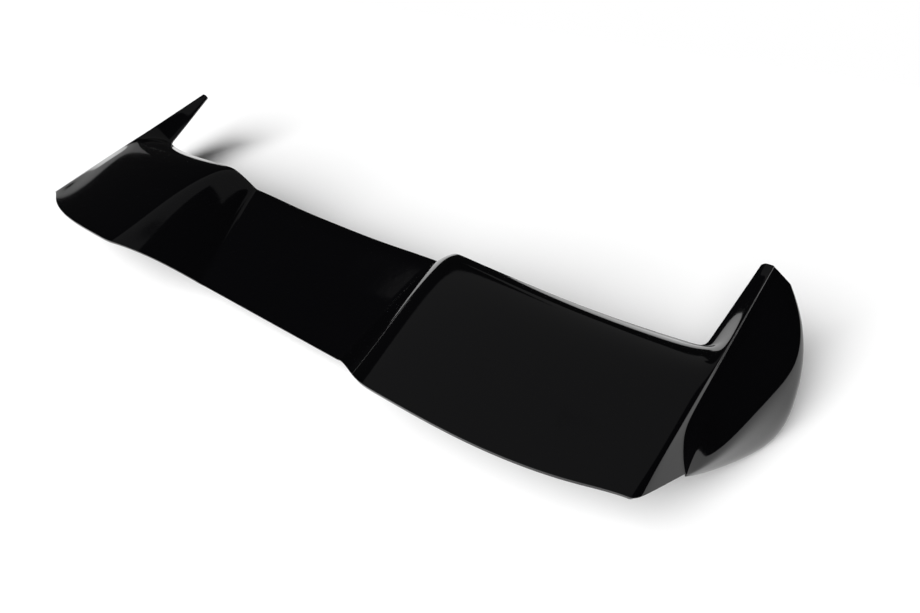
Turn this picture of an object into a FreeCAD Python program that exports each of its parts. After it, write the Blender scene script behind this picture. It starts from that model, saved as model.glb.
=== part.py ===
import FreeCAD, Part
import math
import os

# Roof spoiler for a hatchback car: one thermoformed shell of gloss black ABS sheet.
# X runs across the car, +Y points forward and +Z up, with the spoiler at the tilt it has on the roof.
# Sizes are in millimetres, given from a point midway between the two rear corners.
# The finished shell is moved so that the origin is the middle of the bonding band under its front edge.

# Sheet
wall = 3.5

# Crest: the straight upper edge of each end, from the rear corner to the tip of the front horn
corner_span = 540.0
crest_taper = 22.0
crest_length = 297.0
crest_rise = 33.0

# Sunken centre panel: its rear edge, its front edge and the foot of the ramp at its side
centre_rear = 2.0
centre_rear_height = -40.0
centre_front = 152.0
centre_front_height = 12.0
foot_rear_span = 143.0
foot_front_span = 181.0
foot_front_lift = 6.0
ramp_power = 1.5

# Raised outer panels: the shoulder beside the ramp, and how they sweep and droop towards the end
shoulder_rear_span = 250.0
shoulder_front_span = 220.0
shoulder_rear = -47.0
shoulder_rear_height = 28.0
shoulder_front = 149.0
shoulder_front_height = 46.0
end_rear_sweep = 45.0
end_rear_droop = 24.5
end_front_sweep = 47.5
end_front_droop = 52.0
rear_sweep_power = 3.3
rear_droop_power = 2.1
front_sweep_power = 2.2
front_droop_power = 1.5
crown = 2.5
outer_crown = 8.0
end_crown = 25.0

# Rounded end of the outer panel inside the crest, and the notch between the front edge and the horn
round_width = 14.0
round_rear_height = 3.0
round_front_height = 5.0
corner_bulge = 4.0
flare_start = 0.72
notch_span = 497.5
notch_radius = 10.0
horn_tip_width = 13.0

# Outer side below the crest: the side wall, then a ledge with a sharp outer edge
tail_span = 550.0
tail_reach = 62.5
tail_height = -26.0
tail_climb_share = 0.1
wall_height = 7.0
wall_least_height = 1.5
wall_lean = 20.0
ledge_width = 18.0
ledge_least_width = 4.5
ledge_slope = 38.0
ledge_tail_share = 0.1

# End panel: control points of its lower edge from the tail round the low corner to the front, those of the fold
# between its flat upper facet and the rolled lower edge, and the turned-under hem
leaf_points = ((551.5, 62.5, -29.0), (551.0, 76.5, -49.0), (583.5, 187.5, -105.0),
               (596.5, 191.0, -43.5), (577.0, 261.5, -4.5), (538.0, 296.0, 15.0))
fold_points = ((551.0, 62.5, -27.5), (567.0, 92.0, -33.0), (574.0, 140.0, -24.0),
               (581.0, 200.0, -9.0), (573.0, 262.0, 2.0), (536.0, 296.5, 17.0))
hem = 9.0
hem_end = 2.0

# Front edge: the sheet rolls down before it is trimmed
front_roll = 4.0
roll_share = 0.11
overhang_drop = 1.5
trim_allowance = 6.0
trim_bottom = -150.0
trim_height = 300.0

# Places of the control points, as shares of each stretch of the skin
chord_rows = (0.0, 0.04, 0.12, 0.26, 0.42, 0.58, 0.74, 0.88, 0.95, 1.0)
horn_rows = (0.15, 0.35, 0.60, 0.82, 1.0)
centre_lines = (0.0, 0.3, 0.6, 0.85, 0.96, 1.0)
ramp_lines = (0.12, 0.5, 0.88)
outer_lines = (0.02, 0.13, 0.27, 0.42, 0.58, 0.74, 0.86, 0.94)
horn_blend = (0.5, 0.94)
round_lines = (0.0, 0.55)
wall_lines = (0.0, 0.5, 0.88)
ledge_lines = (0.0, 0.5, 0.85)
facet_lines = (0.0, 0.12, 0.6, 0.94)
edge_roll_line = 0.35
centre_trim_places = (0.0, 0.5, 1.0)
outer_trim_places = (0.0, 0.3, 0.6, 0.85, 1.0)
strip_spans = 4

# Bonding band under the front edge, stuck to the tailgate
bond_reach = 135.0

round_span = corner_span - round_width

# Makes the arch of a chordwise line, which peaks two thirds of the way forward, one unit high
arch_factor = 27.0 / 4.0


def mix(start, end, share):
    """Value or point a given share of the way from start to end."""
    return start + (end - start) * share


def eased(share):
    """Share from 0 to 1 that starts and stops gently."""
    share = min(max(share, 0.0), 1.0)
    return share * share * (3.0 - 2.0 * share)


def centre_rear_point(share):
    """Rear edge of the sunken panel, from the middle (0) to the foot of the ramp (1)."""
    return FreeCAD.Vector(foot_rear_span * share, centre_rear, centre_rear_height)


def centre_front_point(share):
    """Front edge of the sunken panel, from the middle (0) to the foot of the ramp (1)."""
    height = centre_front_height + foot_front_lift * share ** 2
    return FreeCAD.Vector(foot_front_span * share, centre_front, height)


def outer_rear_point(share):
    """Rear edge of the raised panel, from the shoulder (0) to the rounded end (1)."""
    return FreeCAD.Vector(mix(shoulder_rear_span, round_span, share),
                          shoulder_rear + end_rear_sweep * share ** rear_sweep_power,
                          shoulder_rear_height - end_rear_droop * share ** rear_droop_power)


def outer_front_point(share):
    """Front edge of the raised panel, from the shoulder (0) to the notch (1)."""
    return FreeCAD.Vector(mix(shoulder_front_span, notch_span, share),
                          shoulder_front + end_front_sweep * share ** front_sweep_power,
                          shoulder_front_height - end_front_droop * share ** front_droop_power)


def ramp_point(foot, top, share):
    """Point on the ramp between its foot and the shoulder, steepest at the foot."""
    point = mix(foot, top, share)
    point.z = mix(foot.z, top.z, 1.0 - (1.0 - share) ** ramp_power)
    return point


def crest_point(share):
    """Point on the crest, from the rear corner (0) to the horn's tip (1)."""
    return FreeCAD.Vector(corner_span - crest_taper * share, crest_length * share, crest_rise * share)


notch = outer_front_point(1.0)
notch_edge = notch - FreeCAD.Vector(0, 0, front_roll)
notch_share = notch.y / crest_length
horn_tip = crest_point(1.0) - FreeCAD.Vector(horn_tip_width, 0, 0)


def panel_line(rear, front, reach, arch):
    """Control points of a chordwise line of the top: arched, rolled down in front, then past the trim line."""
    points = []
    for share in chord_rows:
        point = mix(rear, front, share)
        point.z += arch_factor * arch * share ** 2 * (1.0 - share)
        point.z -= front_roll * max(0.0, (share - 1.0 + roll_share) / roll_share) ** 2
        points.append(point)
    overhang = front + FreeCAD.Vector(0, reach, -overhang_drop * front_roll)
    return points + [mix(points[-1], overhang, share) for share in horn_rows]


def round_line():
    """Inner side of the rounded end: beside the crest, down to the notch, then along the horn's inner edge."""
    points = []
    for share in chord_rows:
        height = mix(round_rear_height, round_front_height, share)
        bulge = corner_bulge * (1.0 - share) ** 2
        beside = crest_point(notch_share * share) + FreeCAD.Vector(-round_width, -bulge, height)
        points.append(mix(beside, notch_edge, eased((share - flare_start) / (1.0 - flare_start))))
    return points + [mix(notch_edge, horn_tip, share) for share in horn_rows]


def top_lines():
    """Chordwise lines of the top skin, from the middle to the last one before the rounded end."""
    lines = []
    for share in centre_lines:
        lines.append(panel_line(centre_rear_point(share), centre_front_point(share), trim_allowance, crown))
    for share in ramp_lines:
        rear = ramp_point(centre_rear_point(1.0), outer_rear_point(0.0), share)
        front = ramp_point(centre_front_point(1.0), outer_front_point(0.0), share)
        lines.append(panel_line(rear, front, trim_allowance, mix(crown, outer_crown, share)))
    for share in outer_lines:
        blend = eased((share - horn_blend[0]) / (horn_blend[1] - horn_blend[0]))
        reach = mix(trim_allowance, horn_tip.y - notch.y, blend)
        arch = mix(outer_crown, end_crown, share)
        lines.append(panel_line(outer_rear_point(share), outer_front_point(share), reach, arch))
    return lines


def gutter_point(share):
    """Foot of the side wall: from the tail it climbs steeply, then runs close below the crest."""
    tail = FreeCAD.Vector(tail_span, tail_reach, tail_height)
    height = mix(wall_height, wall_least_height, share)
    out = height * math.tan(math.radians(wall_lean))
    below_crest = crest_point(mix(tail_reach / crest_length, 1.0, share)) + FreeCAD.Vector(out, 0, -height)
    return mix(tail, below_crest, eased(share / tail_climb_share))


def ridge_point(share):
    """Sharp outer edge of the ledge."""
    width = mix(ledge_width, ledge_least_width, share)
    width *= mix(ledge_tail_share, 1.0, eased(share / tail_climb_share))
    slope = math.radians(ledge_slope)
    return gutter_point(share) + FreeCAD.Vector(width * math.cos(slope), 0, -width * math.sin(slope))


def clamped_knots(count, degree):
    """Knots and multiplicities of an even, clamped spline with this many control points."""
    spans = count - degree
    return list(range(spans + 1)), [degree + 1] + [1] * (spans - 1) + [degree + 1]


def between(first, second, share):
    """Line a given share of the way from the first line to the second."""
    return [mix(a, b, share) for a, b in zip(first, second)]


def curved_line(controls, rows):
    """Points of the smooth curve with these control points, at the given shares of its length."""
    knots, multiplicities = clamped_knots(len(controls), 3)
    curve = Part.BSplineCurve()
    poles = [FreeCAD.Vector(*point) for point in controls]
    curve.buildFromPolesMultsKnots(poles, multiplicities, knots, False, 3)
    return [curve.value(knots[-1] * share) for share in rows]


def end_lines():
    """Lines of the end, from its rounded inner side over the crest and down the outer side to the hem."""
    rows = [notch_share * share for share in chord_rows] + [mix(notch_share, 1.0, share) for share in horn_rows]
    inner = round_line()
    crest = [crest_point(share) for share in rows]
    gutter = [gutter_point(share) for share in rows]
    ridge = [ridge_point(share) for share in rows]
    leaf = curved_line(leaf_points, rows)
    fold = curved_line(fold_points, rows)
    turned = []
    for point, share in zip(leaf, rows):
        depth = mix(hem_end, hem, 4.0 * share * (1.0 - share))
        turned.append(point - FreeCAD.Vector(depth, 0, depth / 2.0))
    lines = [between(inner, crest, share) for share in round_lines]
    lines += [between(crest, gutter, share) for share in wall_lines]
    lines += [between(gutter, ridge, share) for share in ledge_lines]
    lines += [between(ridge, fold, share) for share in facet_lines]
    return lines + [between(fold, leaf, edge_roll_line), leaf, turned]


def mirrored(line):
    """The same line on the left side."""
    return [FreeCAD.Vector(-point.x, point.y, point.z) for point in line]


def skin_net():
    """Control points of the outer skin, from the left end panel's hem to the right one's."""
    right = top_lines() + end_lines()
    left = [mirrored(line) for line in reversed(right[1:])]
    return left + right


def offset_net(net):
    """Control points moved inwards by the sheet's thickness, along normals that are even across the folds."""
    columns = len(net)
    rows = len(net[0])
    result = []
    for i in range(columns):
        line = []
        for j in range(rows):
            across = net[min(i + 2, columns - 1)][j] - net[max(i - 2, 0)][j]
            along = net[i][min(j + 1, rows - 1)] - net[i][max(j - 1, 0)]
            normal = across.cross(along)
            normal.normalize()
            line.append(net[i][j] - normal * wall)
        result.append(line)
    return result


def spline_faces(net, across_degree, along_degree):
    """Spline surface over a net of control points, as strips side by side across the car."""
    across_knots, across_mults = clamped_knots(len(net), across_degree)
    along_knots, along_mults = clamped_knots(len(net[0]), along_degree)
    surface = Part.BSplineSurface()
    surface.buildFromPolesMultsKnots(net, across_mults, along_mults, across_knots, along_knots,
                                     False, False, across_degree, along_degree)
    faces = []
    for start in range(0, across_knots[-1], strip_spans):
        strip = surface.copy()
        strip.segment(start, min(start + strip_spans, across_knots[-1]), 0, along_knots[-1])
        faces.append(strip.toShape())
    return faces


def formed_sheet():
    """The sheet before trimming: outer skin, inner skin and the four edges between them."""
    outer = skin_net()
    inner = offset_net(outer)
    faces = spline_faces(outer, 3, 3) + spline_faces(inner, 3, 3)
    faces += spline_faces([outer[0], inner[0]], 1, 3)
    faces += spline_faces([outer[-1], inner[-1]], 1, 3)
    faces += spline_faces([[a[0], b[0]] for a, b in zip(outer, inner)], 3, 1)
    faces += spline_faces([[a[-1], b[-1]] for a, b in zip(outer, inner)], 3, 1)
    shell = Part.makeShell(faces)
    shell.sewShape()
    solid = Part.makeSolid(shell)
    if solid.Volume < 0:
        solid.reverse()
    return solid


def front_trim():
    """Upright solid that trims the front edge, the rounded notches and the inner side of the horns."""
    half = [centre_front_point(share) for share in centre_trim_places]
    half += [outer_front_point(share) for share in outer_trim_places]
    half = [FreeCAD.Vector(point.x, point.y, trim_bottom) for point in half]
    corner = half[-1]
    ahead = mix(corner, FreeCAD.Vector(horn_tip.x, horn_tip.y, trim_bottom), 2.0)
    left_corner, left_ahead = mirrored([corner, ahead])
    edge = Part.BSplineCurve()
    edge.interpolate(mirrored(reversed(half[1:])) + half)
    outline = Part.Wire([edge.toShape(), Part.makeLine(corner, ahead), Part.makeLine(ahead, left_ahead),
                         Part.makeLine(left_ahead, left_corner)])
    prism = Part.Face(outline).extrude(FreeCAD.Vector(0, 0, trim_height))
    notches = []
    for side in prism.Edges:
        middle = side.CenterOfMass
        if math.isclose(abs(middle.x), corner.x) and math.isclose(middle.y, corner.y):
            notches.append(side)
    return prism.makeFillet(notch_radius, notches)


def bond_point(sheet):
    """Point on the underside, on the middle plane, at the middle of the bonding band."""
    plumb_line = Part.makeLine(FreeCAD.Vector(0, bond_reach, trim_bottom),
                               FreeCAD.Vector(0, bond_reach, trim_bottom + trim_height))
    heights = [vertex.Z for vertex in sheet.common(plumb_line).Vertexes]
    return FreeCAD.Vector(0, bond_reach, min(heights))


spoiler = formed_sheet().cut(front_trim())
spoiler.translate(bond_point(spoiler) * -1.0)
os.makedirs("parts", exist_ok=True)
spoiler.exportStep("parts/spoiler_shell.step")
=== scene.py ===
import math

import bpy
import numpy as np
from mathutils import Matrix, Vector


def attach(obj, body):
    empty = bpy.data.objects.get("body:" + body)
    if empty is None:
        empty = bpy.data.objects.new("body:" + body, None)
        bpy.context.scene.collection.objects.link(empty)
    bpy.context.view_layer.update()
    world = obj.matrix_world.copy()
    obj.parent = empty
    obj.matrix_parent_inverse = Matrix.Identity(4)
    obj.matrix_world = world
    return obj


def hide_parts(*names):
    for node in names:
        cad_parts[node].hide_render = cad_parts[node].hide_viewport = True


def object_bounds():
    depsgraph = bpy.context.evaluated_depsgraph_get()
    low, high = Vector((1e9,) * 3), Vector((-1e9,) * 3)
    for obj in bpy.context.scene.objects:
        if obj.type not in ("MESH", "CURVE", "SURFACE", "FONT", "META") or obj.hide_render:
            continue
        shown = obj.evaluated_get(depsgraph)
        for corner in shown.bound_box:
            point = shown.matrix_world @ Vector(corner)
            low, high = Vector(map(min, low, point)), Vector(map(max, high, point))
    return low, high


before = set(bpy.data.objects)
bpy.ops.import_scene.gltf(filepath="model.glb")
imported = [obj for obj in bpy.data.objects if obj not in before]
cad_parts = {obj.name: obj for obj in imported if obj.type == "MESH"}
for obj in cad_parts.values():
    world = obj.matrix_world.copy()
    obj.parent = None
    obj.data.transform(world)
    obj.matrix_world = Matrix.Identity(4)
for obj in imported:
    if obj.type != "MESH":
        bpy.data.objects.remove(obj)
cad_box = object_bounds()


# Spoiler shell
# The whole spoiler is one sheet of gloss black ABS, 3.5 mm thick, drawn hot over a mould and then trimmed.
# Its top is sunk in the middle and raised on both sides, and its front edge is rolled down. Outside a
# straight crest it folds down into a leaf-shaped end panel. It is taped on under its front edge.
sheet_wall, millimetres = 3.5, 0.001
corner_span, crest_taper, crest_length, crest_rise = 540.0, 22.0, 297.0, 33.0
centre_rear, centre_rear_height = 2.0, -40.0
centre_front, centre_front_height = 152.0, 12.0
foot_rear_span, foot_front_span, foot_front_lift, ramp_power = 143.0, 181.0, 6.0, 1.5
shoulder_rear_span, shoulder_front_span = 250.0, 220.0
shoulder_rear, shoulder_rear_height = -47.0, 28.0
shoulder_front, shoulder_front_height = 149.0, 46.0
end_rear_sweep, end_rear_droop, end_front_sweep, end_front_droop = 45.0, 24.5, 47.5, 52.0
rear_sweep_power, rear_droop_power, front_sweep_power, front_droop_power = 3.3, 2.1, 2.2, 1.5
crown, outer_crown, end_crown = 2.5, 8.0, 25.0
round_width, round_rear_height, round_front_height = 14.0, 3.0, 5.0
corner_bulge, flare_start = 4.0, 0.72
notch_span, notch_radius, horn_tip_width = 497.5, 10.0, 13.0
tail = np.array((550.0, 62.5, -26.0))
tail_climb_share = 0.1
wall_height, wall_least_height, wall_lean = 7.0, 1.5, math.radians(20.0)
ledge_width, ledge_least_width, ledge_tail_share, ledge_slope = 18.0, 4.5, 0.1, math.radians(38.0)
leaf_points = np.array(((551.5, 62.5, -29.0), (551.0, 76.5, -49.0), (583.5, 187.5, -105.0),
                        (596.5, 191.0, -43.5), (577.0, 261.5, -4.5), (538.0, 296.0, 15.0)))
fold_points = np.array(((551.0, 62.5, -27.5), (567.0, 92.0, -33.0), (574.0, 140.0, -24.0),
                        (581.0, 200.0, -9.0), (573.0, 262.0, 2.0), (536.0, 296.5, 17.0)))
hem, hem_end = 9.0, 2.0
front_roll, roll_share, overhang_drop, trim_allowance = 4.0, 0.11, 1.5, 6.0
arch_factor = 27.0 / 4.0
bond_point = np.array((0.0, 135.0, 3.7810))
chord_rows = (0.0, 0.04, 0.12, 0.26, 0.42, 0.58, 0.74, 0.88, 0.95, 1.0)
horn_rows = (0.15, 0.35, 0.60, 0.82, 1.0)
centre_lines = (0.0, 0.3, 0.6, 0.85, 0.96, 1.0)
ramp_lines = (0.12, 0.5, 0.88)
outer_lines = (0.02, 0.13, 0.27, 0.42, 0.58, 0.74, 0.86, 0.94)
horn_blend = (0.5, 0.94)
round_lines = (0.0, 0.55)
wall_lines = (0.0, 0.5, 0.88)
ledge_lines = (0.0, 0.5, 0.85)
facet_lines = (0.0, 0.12, 0.6, 0.94)
edge_roll_line = 0.35


def point(x, y, z):
    return np.array((x, y, z), float)


def mix(start, end, share):
    return start + (end - start) * share


def eased(share):
    share = min(max(share, 0.0), 1.0)
    return share * share * (3.0 - 2.0 * share)


def centre_rear_point(share):
    return point(foot_rear_span * share, centre_rear, centre_rear_height)


def centre_front_point(share):
    return point(foot_front_span * share, centre_front, centre_front_height + foot_front_lift * share ** 2)


def outer_rear_point(share):
    return point(mix(shoulder_rear_span, corner_span - round_width, share),
                 shoulder_rear + end_rear_sweep * share ** rear_sweep_power,
                 shoulder_rear_height - end_rear_droop * share ** rear_droop_power)


def outer_front_point(share):
    return point(mix(shoulder_front_span, notch_span, share),
                 shoulder_front + end_front_sweep * share ** front_sweep_power,
                 shoulder_front_height - end_front_droop * share ** front_droop_power)


def ramp_point(foot, top, share):
    place = mix(foot, top, share)
    place[2] = mix(foot[2], top[2], 1.0 - (1.0 - share) ** ramp_power)
    return place


def crest_point(share):
    return point(corner_span - crest_taper * share, crest_length * share, crest_rise * share)


notch = outer_front_point(1.0)
notch_edge = notch - point(0, 0, front_roll)
notch_share = notch[1] / crest_length
horn_tip = crest_point(1.0) - point(horn_tip_width, 0, 0)


def panel_line(rear, front, reach, arch):
    """Control points of a chordwise line: arched, rolled down in front, then on past the trim line."""
    line = []
    for share in chord_rows:
        place = mix(rear, front, share)
        place[2] += arch_factor * arch * share ** 2 * (1.0 - share)
        place[2] -= front_roll * max(0.0, (share - 1.0 + roll_share) / roll_share) ** 2
        line.append(place)
    overhang = front + point(0, reach, -overhang_drop * front_roll)
    return line + [mix(line[-1], overhang, share) for share in horn_rows]


def round_line():
    """Inner side of the rounded end: beside the crest, down to the notch, then along the horn."""
    line = []
    for share in chord_rows:
        height = mix(round_rear_height, round_front_height, share)
        bulge = corner_bulge * (1.0 - share) ** 2
        beside = crest_point(notch_share * share) + point(-round_width, -bulge, height)
        line.append(mix(beside, notch_edge, eased((share - flare_start) / (1.0 - flare_start))))
    return np.array(line + [mix(notch_edge, horn_tip, share) for share in horn_rows])


def through(points, shares):
    """Points on the smooth curve through the given ones, at shares of its length."""
    gaps = np.linalg.norm(np.diff(points, axis=0), axis=1)
    knots = np.concatenate(((0.0,), np.cumsum(gaps)))
    count = len(points)
    system, target = np.zeros((count, count)), np.zeros(points.shape)
    for end, near in ((0, slice(0, 4)), (count - 1, slice(count - 4, count))):
        system[end, end] = 1.0
        for axis in range(points.shape[1]):
            cubic = np.polyfit(knots[near] - knots[end], points[near, axis], 3)
            target[end, axis] = cubic[2]
    for i in range(1, count - 1):
        before, after = 1.0 / gaps[i - 1], 1.0 / gaps[i]
        system[i, i - 1:i + 2] = before, 2.0 * (before + after), after
        rise_before = (points[i] - points[i - 1]) * before ** 2
        rise_after = (points[i + 1] - points[i]) * after ** 2
        target[i] = 3.0 * (rise_before + rise_after)
    slopes = np.linalg.solve(system, target)
    result = []
    for share in shares:
        i = min(max(int(np.searchsorted(knots, share * knots[-1])) - 1, 0), count - 2)
        t = (share * knots[-1] - knots[i]) / gaps[i]
        result.append((1 + 2 * t) * (1 - t) ** 2 * points[i] + t * (1 - t) ** 2 * gaps[i] * slopes[i]
                      + t * t * (3 - 2 * t) * points[i + 1] + t * t * (t - 1) * gaps[i] * slopes[i + 1])
    return np.array(result)


def gutter_point(share):
    height = mix(wall_height, wall_least_height, share)
    below_crest = crest_point(mix(tail[1] / crest_length, 1.0, share))
    below_crest = below_crest + point(height * math.tan(wall_lean), 0, -height)
    return mix(tail, below_crest, eased(share / tail_climb_share))


def ridge_point(share):
    width = mix(ledge_width, ledge_least_width, share)
    width *= mix(ledge_tail_share, 1.0, eased(share / tail_climb_share))
    return gutter_point(share) + point(width * math.cos(ledge_slope), 0, -width * math.sin(ledge_slope))


def spline_weights(count, places):
    """Weights of the control points of an even, clamped cubic spline at the given places."""
    spans = count - 3
    knots = np.concatenate((np.zeros(3), np.arange(spans + 1), np.full(3, spans)))
    places = np.clip(np.asarray(places, float), 0.0, spans - 1e-9)
    weights = ((places[:, None] >= knots[:-1]) & (places[:, None] < knots[1:])).astype(float)
    for degree in (1, 2, 3):
        rise = knots[degree:-1] - knots[:-degree - 1]
        fall = knots[degree + 1:] - knots[1:-degree]
        up, down = np.zeros((len(places), len(rise))), np.zeros((len(places), len(fall)))
        np.divide(places[:, None] - knots[:-degree - 1], rise, out=up, where=rise > 0)
        np.divide(knots[degree + 1:] - places[:, None], fall, out=down, where=fall > 0)
        weights = up * weights[:, :-1] + down * weights[:, 1:]
    return weights


def right_half_lines():
    """Control lines of the right half, from the middle of the car to the hem of the end panel."""
    lines = []
    for share in centre_lines:
        lines.append(panel_line(centre_rear_point(share), centre_front_point(share), trim_allowance, crown))
    for share in ramp_lines:
        lines.append(panel_line(ramp_point(centre_rear_point(1.0), outer_rear_point(0.0), share),
                                ramp_point(centre_front_point(1.0), outer_front_point(0.0), share),
                                trim_allowance, mix(crown, outer_crown, share)))
    for share in outer_lines:
        blend = eased((share - horn_blend[0]) / (horn_blend[1] - horn_blend[0]))
        reach = mix(trim_allowance, horn_tip[1] - notch[1], blend)
        lines.append(panel_line(outer_rear_point(share), outer_front_point(share), reach,
                                mix(outer_crown, end_crown, share)))
    rows = [notch_share * share for share in chord_rows]
    rows = np.array(rows + [mix(notch_share, 1.0, share) for share in horn_rows])
    inner = round_line()
    crest = np.array([crest_point(share) for share in rows])
    gutter = np.array([gutter_point(share) for share in rows])
    ridge = np.array([ridge_point(share) for share in rows])
    leaf = spline_weights(len(leaf_points), rows * (len(leaf_points) - 3)) @ leaf_points
    fold = spline_weights(len(fold_points), rows * (len(fold_points) - 3)) @ fold_points
    turned = leaf - np.outer(mix(hem_end, hem, 4.0 * rows * (1.0 - rows)), (1.0, 0.0, 0.5))
    lines += [mix(inner, crest, share) for share in round_lines]
    lines += [mix(crest, gutter, share) for share in wall_lines]
    lines += [mix(gutter, ridge, share) for share in ledge_lines]
    lines += [mix(ridge, fold, share) for share in facet_lines]
    return np.array(lines + [mix(fold, leaf, edge_roll_line), leaf, turned])


right_lines = right_half_lines()
net = np.concatenate((right_lines[:0:-1] * (-1.0, 1.0, 1.0), right_lines))
across_spans, along_spans = len(net) - 3, net.shape[1] - 3
middle = across_spans / 2.0


def skin(across, along):
    """Points of the outer skin at pairs of places across and along it, in millimetres."""
    across_weights = spline_weights(len(net), across)
    along_weights = spline_weights(net.shape[1], along)
    return np.einsum("na,nb,abk->nk", across_weights, along_weights, net)


# The trim line in plan: along the front edge, round the notch and past the horn's tip on its inner side
past_tip, edge_samples, arc_samples = 200.0, 400, 40
centre_edge_shares, outer_edge_shares = (0.0, 0.5, 1.0), (0.0, 0.3, 0.6, 0.85, 1.0)
half_edge = [centre_front_point(share) for share in centre_edge_shares]
half_edge += [outer_front_point(share) for share in outer_edge_shares]
half_edge = np.array(half_edge)[:, :2]
whole_edge = np.concatenate((half_edge[:0:-1] * (-1.0, 1.0), half_edge))
edge_line = through(whole_edge, np.linspace(0.5, 1.0, edge_samples))
to_middle = (edge_line[-2] - edge_line[-1]) / np.linalg.norm(edge_line[-2] - edge_line[-1])
to_tip = (horn_tip[:2] - notch[:2]) / np.linalg.norm(horn_tip[:2] - notch[:2])
half_angle = math.acos(float(to_middle @ to_tip)) / 2.0
arc_reach = notch_radius / math.tan(half_angle)
halfway = (to_middle + to_tip) / np.linalg.norm(to_middle + to_tip)
arc_centre = notch[:2] + halfway * notch_radius / math.sin(half_angle)
arc_start, arc_end = notch[:2] + to_middle * arc_reach, notch[:2] + to_tip * arc_reach
first = math.atan2(*(arc_start - arc_centre)[::-1])
last = math.atan2(*(arc_end - arc_centre)[::-1])
turn = (last - first + math.pi) % (2.0 * math.pi) - math.pi
arc = [arc_centre + notch_radius * np.array((math.cos(first + turn * t), math.sin(first + turn * t)))
       for t in np.linspace(0.0, 1.0, arc_samples)]
horn_line = np.array(arc + [notch[:2] + to_tip * past_tip])


chord_samples, lip_samples, halvings = 900, 500, 40


def crossing(values, places):
    """Place where a run of values first turns from negative to positive."""
    after = int(np.argmax(values > 0.0))
    if values[after] <= 0.0:
        return places[-1]
    before = max(after - 1, 0)
    if after == before:
        return places[0]
    return mix(places[before], places[after], -values[before] / (values[after] - values[before]))


def front_place(across):
    """Place along the skin where it meets the front edge."""
    along = np.linspace(0.0, along_spans, chord_samples)
    line = skin(np.full(len(along), across), along)
    return crossing(line[:, 1] - np.interp(line[:, 0], edge_line[:, 0], edge_line[:, 1]), along)


def edge_span(across):
    place = front_place(across)
    return skin((across,), (place,))[0, 0] - arc_start[0]


# Where the front edge ends and the notch begins, found by halving
low_place, high_place = middle + 8.0, middle + 18.0
for _ in range(halvings):
    try_place = (low_place + high_place) / 2.0
    if edge_span(try_place) < 0.0:
        low_place = try_place
    else:
        high_place = try_place
notch_place = (low_place + high_place) / 2.0
notch_row = front_place(notch_place)

# The facets: closer together on the ramps, towards both trimmed edges and round the notch
lip_place = notch_place + 1.6
ramp_start, ramp_end = middle + 4.0, middle + 9.5
centre_columns, ramp_columns, outer_columns, end_columns_per_span = 20, 66, 44, 9.1
top_row_count, horn_row_count, edge_crowding, notch_crowding, tip_allowance = 66, 40, 0.55, 1.6, 0.006


def row_shares(count):
    """Shares along the chord, closer together at both trimmed edges."""
    even = np.linspace(0.0, 1.0, count)
    return even - edge_crowding / (2.0 * math.pi) * np.sin(2.0 * math.pi * even)


top_columns = np.concatenate((np.linspace(middle, ramp_start, centre_columns, endpoint=False),
                              np.linspace(ramp_start, ramp_end, ramp_columns, endpoint=False),
                              np.linspace(ramp_end, notch_place, outer_columns)))
end_column_count = int((across_spans - notch_place) * end_columns_per_span) + 1
end_columns = np.linspace(notch_place, across_spans, end_column_count)
shares = row_shares(top_row_count)
top_grid = np.array([skin(np.full(top_row_count, u), shares * front_place(u)) for u in top_columns])
horn_shares = np.linspace(0.0, 1.0, horn_row_count + 1)[1:] ** notch_crowding
end_rows = np.concatenate((shares * notch_row, mix(notch_row, along_spans - tip_allowance, horn_shares)))
end_grid = np.zeros((len(end_columns), len(end_rows), 3))
for j, row in enumerate(end_rows):
    start = notch_place
    if row > notch_row + 1e-9:
        tries = np.linspace(notch_place, lip_place, lip_samples)
        line = skin(tries, np.full(len(tries), row))
        start = crossing(line[:, 0] - np.interp(line[:, 1], horn_line[:, 1], horn_line[:, 0]), tries)
    near = end_columns < lip_place
    columns = end_columns.copy()
    columns[near] = mix(start, lip_place, (end_columns[near] - notch_place) / (lip_place - notch_place))
    end_grid[:, j] = skin(columns, np.full(len(columns), row))

# A hair under the nominal size, so that no rounded facet stands proud of it
size_allowance = 0.9989
vertices, faces = [], []


def add_grid(grid, flipped):
    base = len(vertices)
    columns, rows = grid.shape[:2]
    vertices.extend(((grid.reshape(-1, 3) - bond_point) * size_allowance * millimetres).tolist())
    for i in range(columns - 1):
        for j in range(rows - 1):
            a, b = base + i * rows + j, base + (i + 1) * rows + j
            quad = (a, b, b + 1, a + 1)
            faces.append(quad[::-1] if flipped else quad)


for side in (1.0, -1.0):
    add_grid(top_grid * (side, 1.0, 1.0), side < 0)
    add_grid(end_grid * (side, 1.0, 1.0), side < 0)
skin_mesh = bpy.data.meshes.new("formed_skin")
skin_mesh.from_pydata(vertices, [], faces)
skin_object = bpy.data.objects.new("formed_skin", skin_mesh)
bpy.context.scene.collection.objects.link(skin_object)


def linear(hex_colour):
    """Linear colour of an sRGB hex value."""
    parts = [int(hex_colour[i:i + 2], 16) / 255.0 for i in (1, 3, 5)]
    return [c / 12.92 if c <= 0.04045 else ((c + 0.055) / 1.055) ** 2.4 for c in parts] + [1.0]


def add_node(tree, kind, settings=None, values=None):
    """Adds a node with its properties, and with its sockets' values or the sockets that feed them."""
    node = tree.nodes.new(kind)
    for name, value in (settings or {}).items():
        setattr(node, name, value)
    for name, value in (values or {}).items():
        if isinstance(value, bpy.types.NodeSocket):
            tree.links.new(value, node.inputs[name])
        else:
            node.inputs[name].default_value = value
    return node


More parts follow.
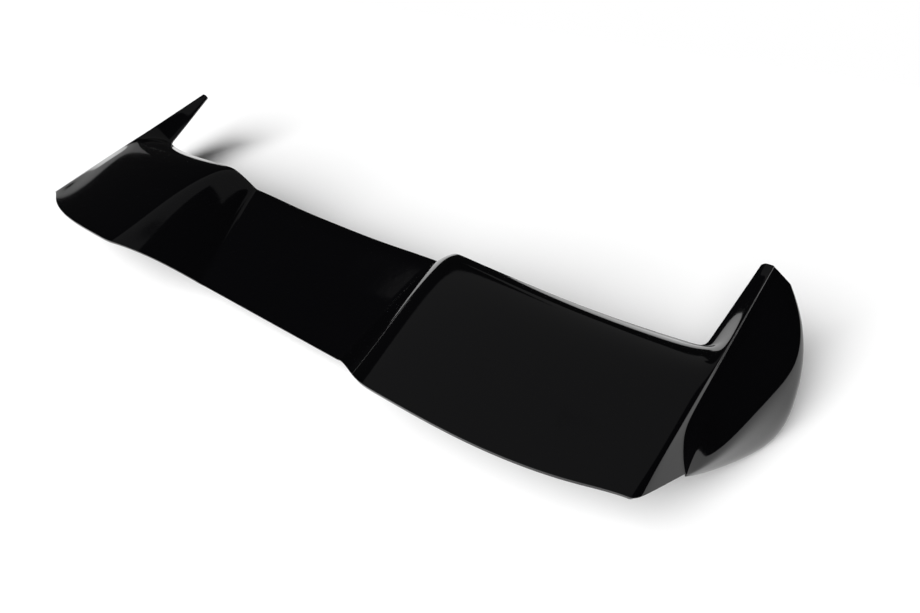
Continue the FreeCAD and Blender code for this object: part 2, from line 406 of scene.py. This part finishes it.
# Gloss black ABS, drawn over a polished mould: a deep black that mirrors the room, with the faint waves
# that a formed sheet keeps, and patches of a very thin haze from handling.
peel_spacing_mm, haze_spacing_mm = 9.0, 60.0
gloss_abs = bpy.data.materials.new("gloss_black_abs")
gloss_abs.use_nodes = True
tree = gloss_abs.node_tree
tree.nodes.clear()
coords = add_node(tree, "ShaderNodeTexCoord")
peel = add_node(tree, "ShaderNodeTexNoise", None,
                {"Vector": coords.outputs["Object"], "Scale": 1000.0 / peel_spacing_mm, "Detail": 1.0})
waves = add_node(tree, "ShaderNodeBump", None,
                 {"Height": peel.outputs["Fac"], "Strength": 0.03, "Distance": 0.0006})
haze = add_node(tree, "ShaderNodeTexNoise", None,
                {"Vector": coords.outputs["Object"], "Scale": 1000.0 / haze_spacing_mm, "Detail": 4.0})
rough = add_node(tree, "ShaderNodeMapRange", None,
                 {"Value": haze.outputs["Fac"], "From Min": 0.3, "From Max": 0.7,
                  "To Min": 0.05, "To Max": 0.09})
abs_shader = add_node(tree, "ShaderNodeBsdfPrincipled", None,
                      {"Base Color": linear("#040405"), "IOR": 1.53, "Roughness": rough.outputs["Result"],
                       "Normal": waves.outputs["Normal"]})
add_node(tree, "ShaderNodeOutputMaterial", None, {"Surface": abs_shader.outputs["BSDF"]})

# The same ABS on the side that never met the mould: dull, slightly grainy and a touch greyer. The grain is
# drawn coarser than the real one, so that it shows.
grain_spacing_mm = 1.6
inside_abs = bpy.data.materials.new("unpolished_black_abs")
inside_abs.use_nodes = True
tree = inside_abs.node_tree
tree.nodes.clear()
coords = add_node(tree, "ShaderNodeTexCoord")
grain = add_node(tree, "ShaderNodeTexNoise", None,
                 {"Vector": coords.outputs["Object"], "Scale": 1000.0 / grain_spacing_mm, "Detail": 2.0})
grit = add_node(tree, "ShaderNodeBump", None,
                {"Height": grain.outputs["Fac"], "Strength": 0.2, "Distance": 0.0003})
inside_shader = add_node(tree, "ShaderNodeBsdfPrincipled", None,
                         {"Base Color": linear("#161618"), "IOR": 1.53, "Roughness": 0.42,
                          "Normal": grit.outputs["Normal"]})
add_node(tree, "ShaderNodeOutputMaterial", None, {"Surface": inside_shader.outputs["BSDF"]})

# The sheet's thickness follows its skin: the skin is doubled inwards, closed round the trimmed edge and
# given its two finishes, and the trimmed edge is then eased
join_distance, evening_steps = 0.00001, 8
easing_angle, easing_width, easing_steps = math.radians(50.0), 0.0008, 2
wall_tree = bpy.data.node_groups.new("sheet_wall", "GeometryNodeTree")
for name, kind in (("Skin", "NodeSocketGeometry"), ("Thickness", "NodeSocketFloat"),
                   ("Outside finish", "NodeSocketMaterial"), ("Inside finish", "NodeSocketMaterial")):
    wall_tree.interface.new_socket(name, in_out="INPUT", socket_type=kind)
wall_tree.interface.new_socket("Sheet", in_out="OUTPUT", socket_type="NodeSocketGeometry")
given = add_node(wall_tree, "NodeGroupInput")
whole = add_node(wall_tree, "GeometryNodeMergeByDistance", None,
                 {"Geometry": given.outputs["Skin"], "Distance": join_distance})
inwards = add_node(wall_tree, "ShaderNodeMath", {"operation": "MULTIPLY"},
                   {0: given.outputs["Thickness"], 1: -1.0})
facing = add_node(wall_tree, "GeometryNodeInputNormal")
evened = add_node(wall_tree, "GeometryNodeBlurAttribute", {"data_type": "FLOAT_VECTOR"},
                  {"Value": facing.outputs["Normal"], "Iterations": evening_steps})
drawn = add_node(wall_tree, "GeometryNodeExtrudeMesh", {"mode": "FACES"},
                 {"Mesh": whole.outputs["Geometry"], "Offset": evened.outputs["Value"],
                  "Offset Scale": inwards.outputs["Value"], "Individual": False})
turned_faces = add_node(wall_tree, "GeometryNodeFlipFaces", None, {"Mesh": drawn.outputs["Mesh"]})
joined = add_node(wall_tree, "GeometryNodeJoinGeometry")
wall_tree.links.new(turned_faces.outputs["Mesh"], joined.inputs["Geometry"])
wall_tree.links.new(whole.outputs["Geometry"], joined.inputs["Geometry"])
closed = add_node(wall_tree, "GeometryNodeMergeByDistance", None,
                  {"Geometry": joined.outputs["Geometry"], "Distance": join_distance})
real = add_node(wall_tree, "GeometryNodeRealizeInstances", None, {"Geometry": closed.outputs["Geometry"]})
smooth = add_node(wall_tree, "GeometryNodeSetShadeSmooth", None, {"Geometry": real.outputs["Geometry"]})
outside = add_node(wall_tree, "GeometryNodeSetMaterial", None,
                   {"Geometry": smooth.outputs["Geometry"], "Material": given.outputs["Outside finish"]})
inside = add_node(wall_tree, "GeometryNodeSetMaterial", None,
                  {"Geometry": outside.outputs["Geometry"], "Selection": drawn.outputs["Top"],
                   "Material": given.outputs["Inside finish"]})
add_node(wall_tree, "NodeGroupOutput", None, {"Sheet": inside.outputs["Geometry"]})
wall_inputs = {item.name: item.identifier for item in wall_tree.interface.items_tree
               if item.in_out == "INPUT"}
wall_modifier = skin_object.modifiers.new("sheet_wall", "NODES")
wall_modifier.node_group = wall_tree
wall_modifier[wall_inputs["Thickness"]] = sheet_wall * millimetres
wall_modifier[wall_inputs["Outside finish"]] = gloss_abs
wall_modifier[wall_inputs["Inside finish"]] = inside_abs
edge_bevel = skin_object.modifiers.new("eased_edges", "BEVEL")
edge_bevel.limit_method = "ANGLE"
edge_bevel.angle_limit = easing_angle
edge_bevel.width = easing_width
edge_bevel.segments = easing_steps
weighted = skin_object.modifiers.new("even_shading", "WEIGHTED_NORMAL")
weighted.keep_sharp = True
bpy.context.view_layer.update()
evaluated = skin_object.evaluated_get(bpy.context.evaluated_depsgraph_get())
shell_mesh = bpy.data.meshes.new_from_object(evaluated, preserve_all_data_layers=True,
                                             depsgraph=bpy.context.evaluated_depsgraph_get())
shell_mesh.name = "spoiler_skin"
bpy.data.objects.remove(skin_object)
spoiler = bpy.data.objects.new("spoiler_skin", shell_mesh)
bpy.context.scene.collection.objects.link(spoiler)
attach(spoiler, "root")
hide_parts("spoiler_shell")


# Floor
# A wide sheet of plain, pale, matt board on the studio floor, level with the lowest edge of the end panels.
# It carries the spoiler's soft shadow.
floor_left, floor_right, floor_rear, floor_front, floor_gap = -2.5, 3.0, -3.0, 0.8, 0.0005
floor_height = cad_box[0].z - floor_gap
floor_mesh = bpy.data.meshes.new("studio_floor")
floor_mesh.from_pydata([(floor_left, floor_rear, floor_height), (floor_right, floor_rear, floor_height),
                        (floor_right, floor_front, floor_height), (floor_left, floor_front, floor_height)],
                       [], [(0, 1, 2, 3)])
floor = bpy.data.objects.new("studio_floor", floor_mesh)
bpy.context.scene.collection.objects.link(floor)
board = bpy.data.materials.new("white_board")
board.use_nodes = True
board.node_tree.nodes["Principled BSDF"].inputs["Base Color"].default_value = linear("#f6f6f6")
board.node_tree.nodes["Principled BSDF"].inputs["Roughness"].default_value = 0.9
floor_mesh.materials.append(board)

# Reflector card
# A long, low card of pale grey board that stands on the floor beyond the left end.
# It is mirrored in the rounded rim of that end.
card_place, card_start, card_end, card_height = -2.5, -1.0, 0.9, 0.30
card_mesh = bpy.data.meshes.new("reflector_card")
card_mesh.from_pydata([(card_place, card_start, floor_height), (card_place, card_end, floor_height),
                       (card_place, card_end, floor_height + card_height),
                       (card_place, card_start, floor_height + card_height)], [], [(0, 1, 2, 3)])
card = bpy.data.objects.new("reflector_card", card_mesh)
bpy.context.scene.collection.objects.link(card)
grey_board = bpy.data.materials.new("grey_board")
grey_board.use_nodes = True
grey_board.node_tree.nodes["Principled BSDF"].inputs["Base Color"].default_value = linear("#b4b4b4")
grey_board.node_tree.nodes["Principled BSDF"].inputs["Roughness"].default_value = 0.9
card_mesh.materials.append(grey_board)


# Light
# A large soft key light from behind the spoiler's rear edge, wide dim panels overhead, and a dark room
# that is plain white behind the board where the camera looks.
def aim(obj, place, target):
    obj.location = place
    obj.rotation_mode = "QUATERNION"
    obj.rotation_quaternion = (Vector(target) - Vector(place)).to_track_quat("-Z", "Y")


key_light = bpy.data.lights.new("key_light", "SUN")
key_light.energy = 5.0
key_light.angle = math.radians(60.0)
key = bpy.data.objects.new("key_light", key_light)
bpy.context.scene.collection.objects.link(key)
aim(key, (0.2, -2.6, 2.6), (0.0, 0.0, 0.0))
panel_height, panel_watts_per_area = 3.0, 0.39
for name, left, right, rear, front in (("dim_panel_left", -2.85, 0.05, -0.3, 7.0),
                                       ("dim_panel_right", 0.05, 1.3, 0.5, 7.0),
                                       ("dim_panel_front", -5.0, 1.3, 7.0, 14.0)):
    panel_light = bpy.data.lights.new(name, "AREA")
    panel_light.shape = "RECTANGLE"
    panel_light.size = right - left
    panel_light.size_y = front - rear
    panel_light.energy = panel_watts_per_area * panel_light.size * panel_light.size_y
    panel = bpy.data.objects.new(name, panel_light)
    bpy.context.scene.collection.objects.link(panel)
    panel_place = Vector(((left + right) / 2.0, (rear + front) / 2.0, panel_height))
    aim(panel, panel_place, (panel_place.x, panel_place.y, 0.0))
room = bpy.data.worlds.new("dark_room")
bpy.context.scene.world = room
room.use_nodes = True
seen = add_node(room.node_tree, "ShaderNodeLightPath")
strength = add_node(room.node_tree, "ShaderNodeMapRange", None,
                    {"Value": seen.outputs["Is Camera Ray"], "To Min": 0.01, "To Max": 1.0})
room.node_tree.nodes["Background"].inputs["Color"].default_value = linear("#ffffff")
room.node_tree.links.new(strength.outputs["Result"], room.node_tree.nodes["Background"].inputs["Strength"])


# Camera
# Above the right rear of the spoiler, looking down across it, as the photograph was taken.
# Its focal length is given in pixels of the picture's width.
picture_width, focal_length = 920.0, 800.0
camera_data = bpy.data.cameras.new("camera")
camera_data.sensor_width = 36.0
camera_data.lens = camera_data.sensor_width * focal_length / picture_width
camera = bpy.data.objects.new("camera", camera_data)
bpy.context.scene.collection.objects.link(camera)
forward = Vector((-0.5865, 0.5046, -0.6335)).normalized()
right = forward.cross(Vector((-0.322, 0.5724, 0.7541))).normalized()
above = right.cross(forward)
stand = Vector((0.7678, -0.4720, 0.5624))
camera.matrix_world = Matrix(((right.x, above.x, -forward.x, stand.x),
                              (right.y, above.y, -forward.y, stand.y),
                              (right.z, above.z, -forward.z, stand.z),
                              (0.0, 0.0, 0.0, 1.0)))
bpy.context.scene.camera = camera
bpy.context.scene.view_settings.view_transform = "Standard"
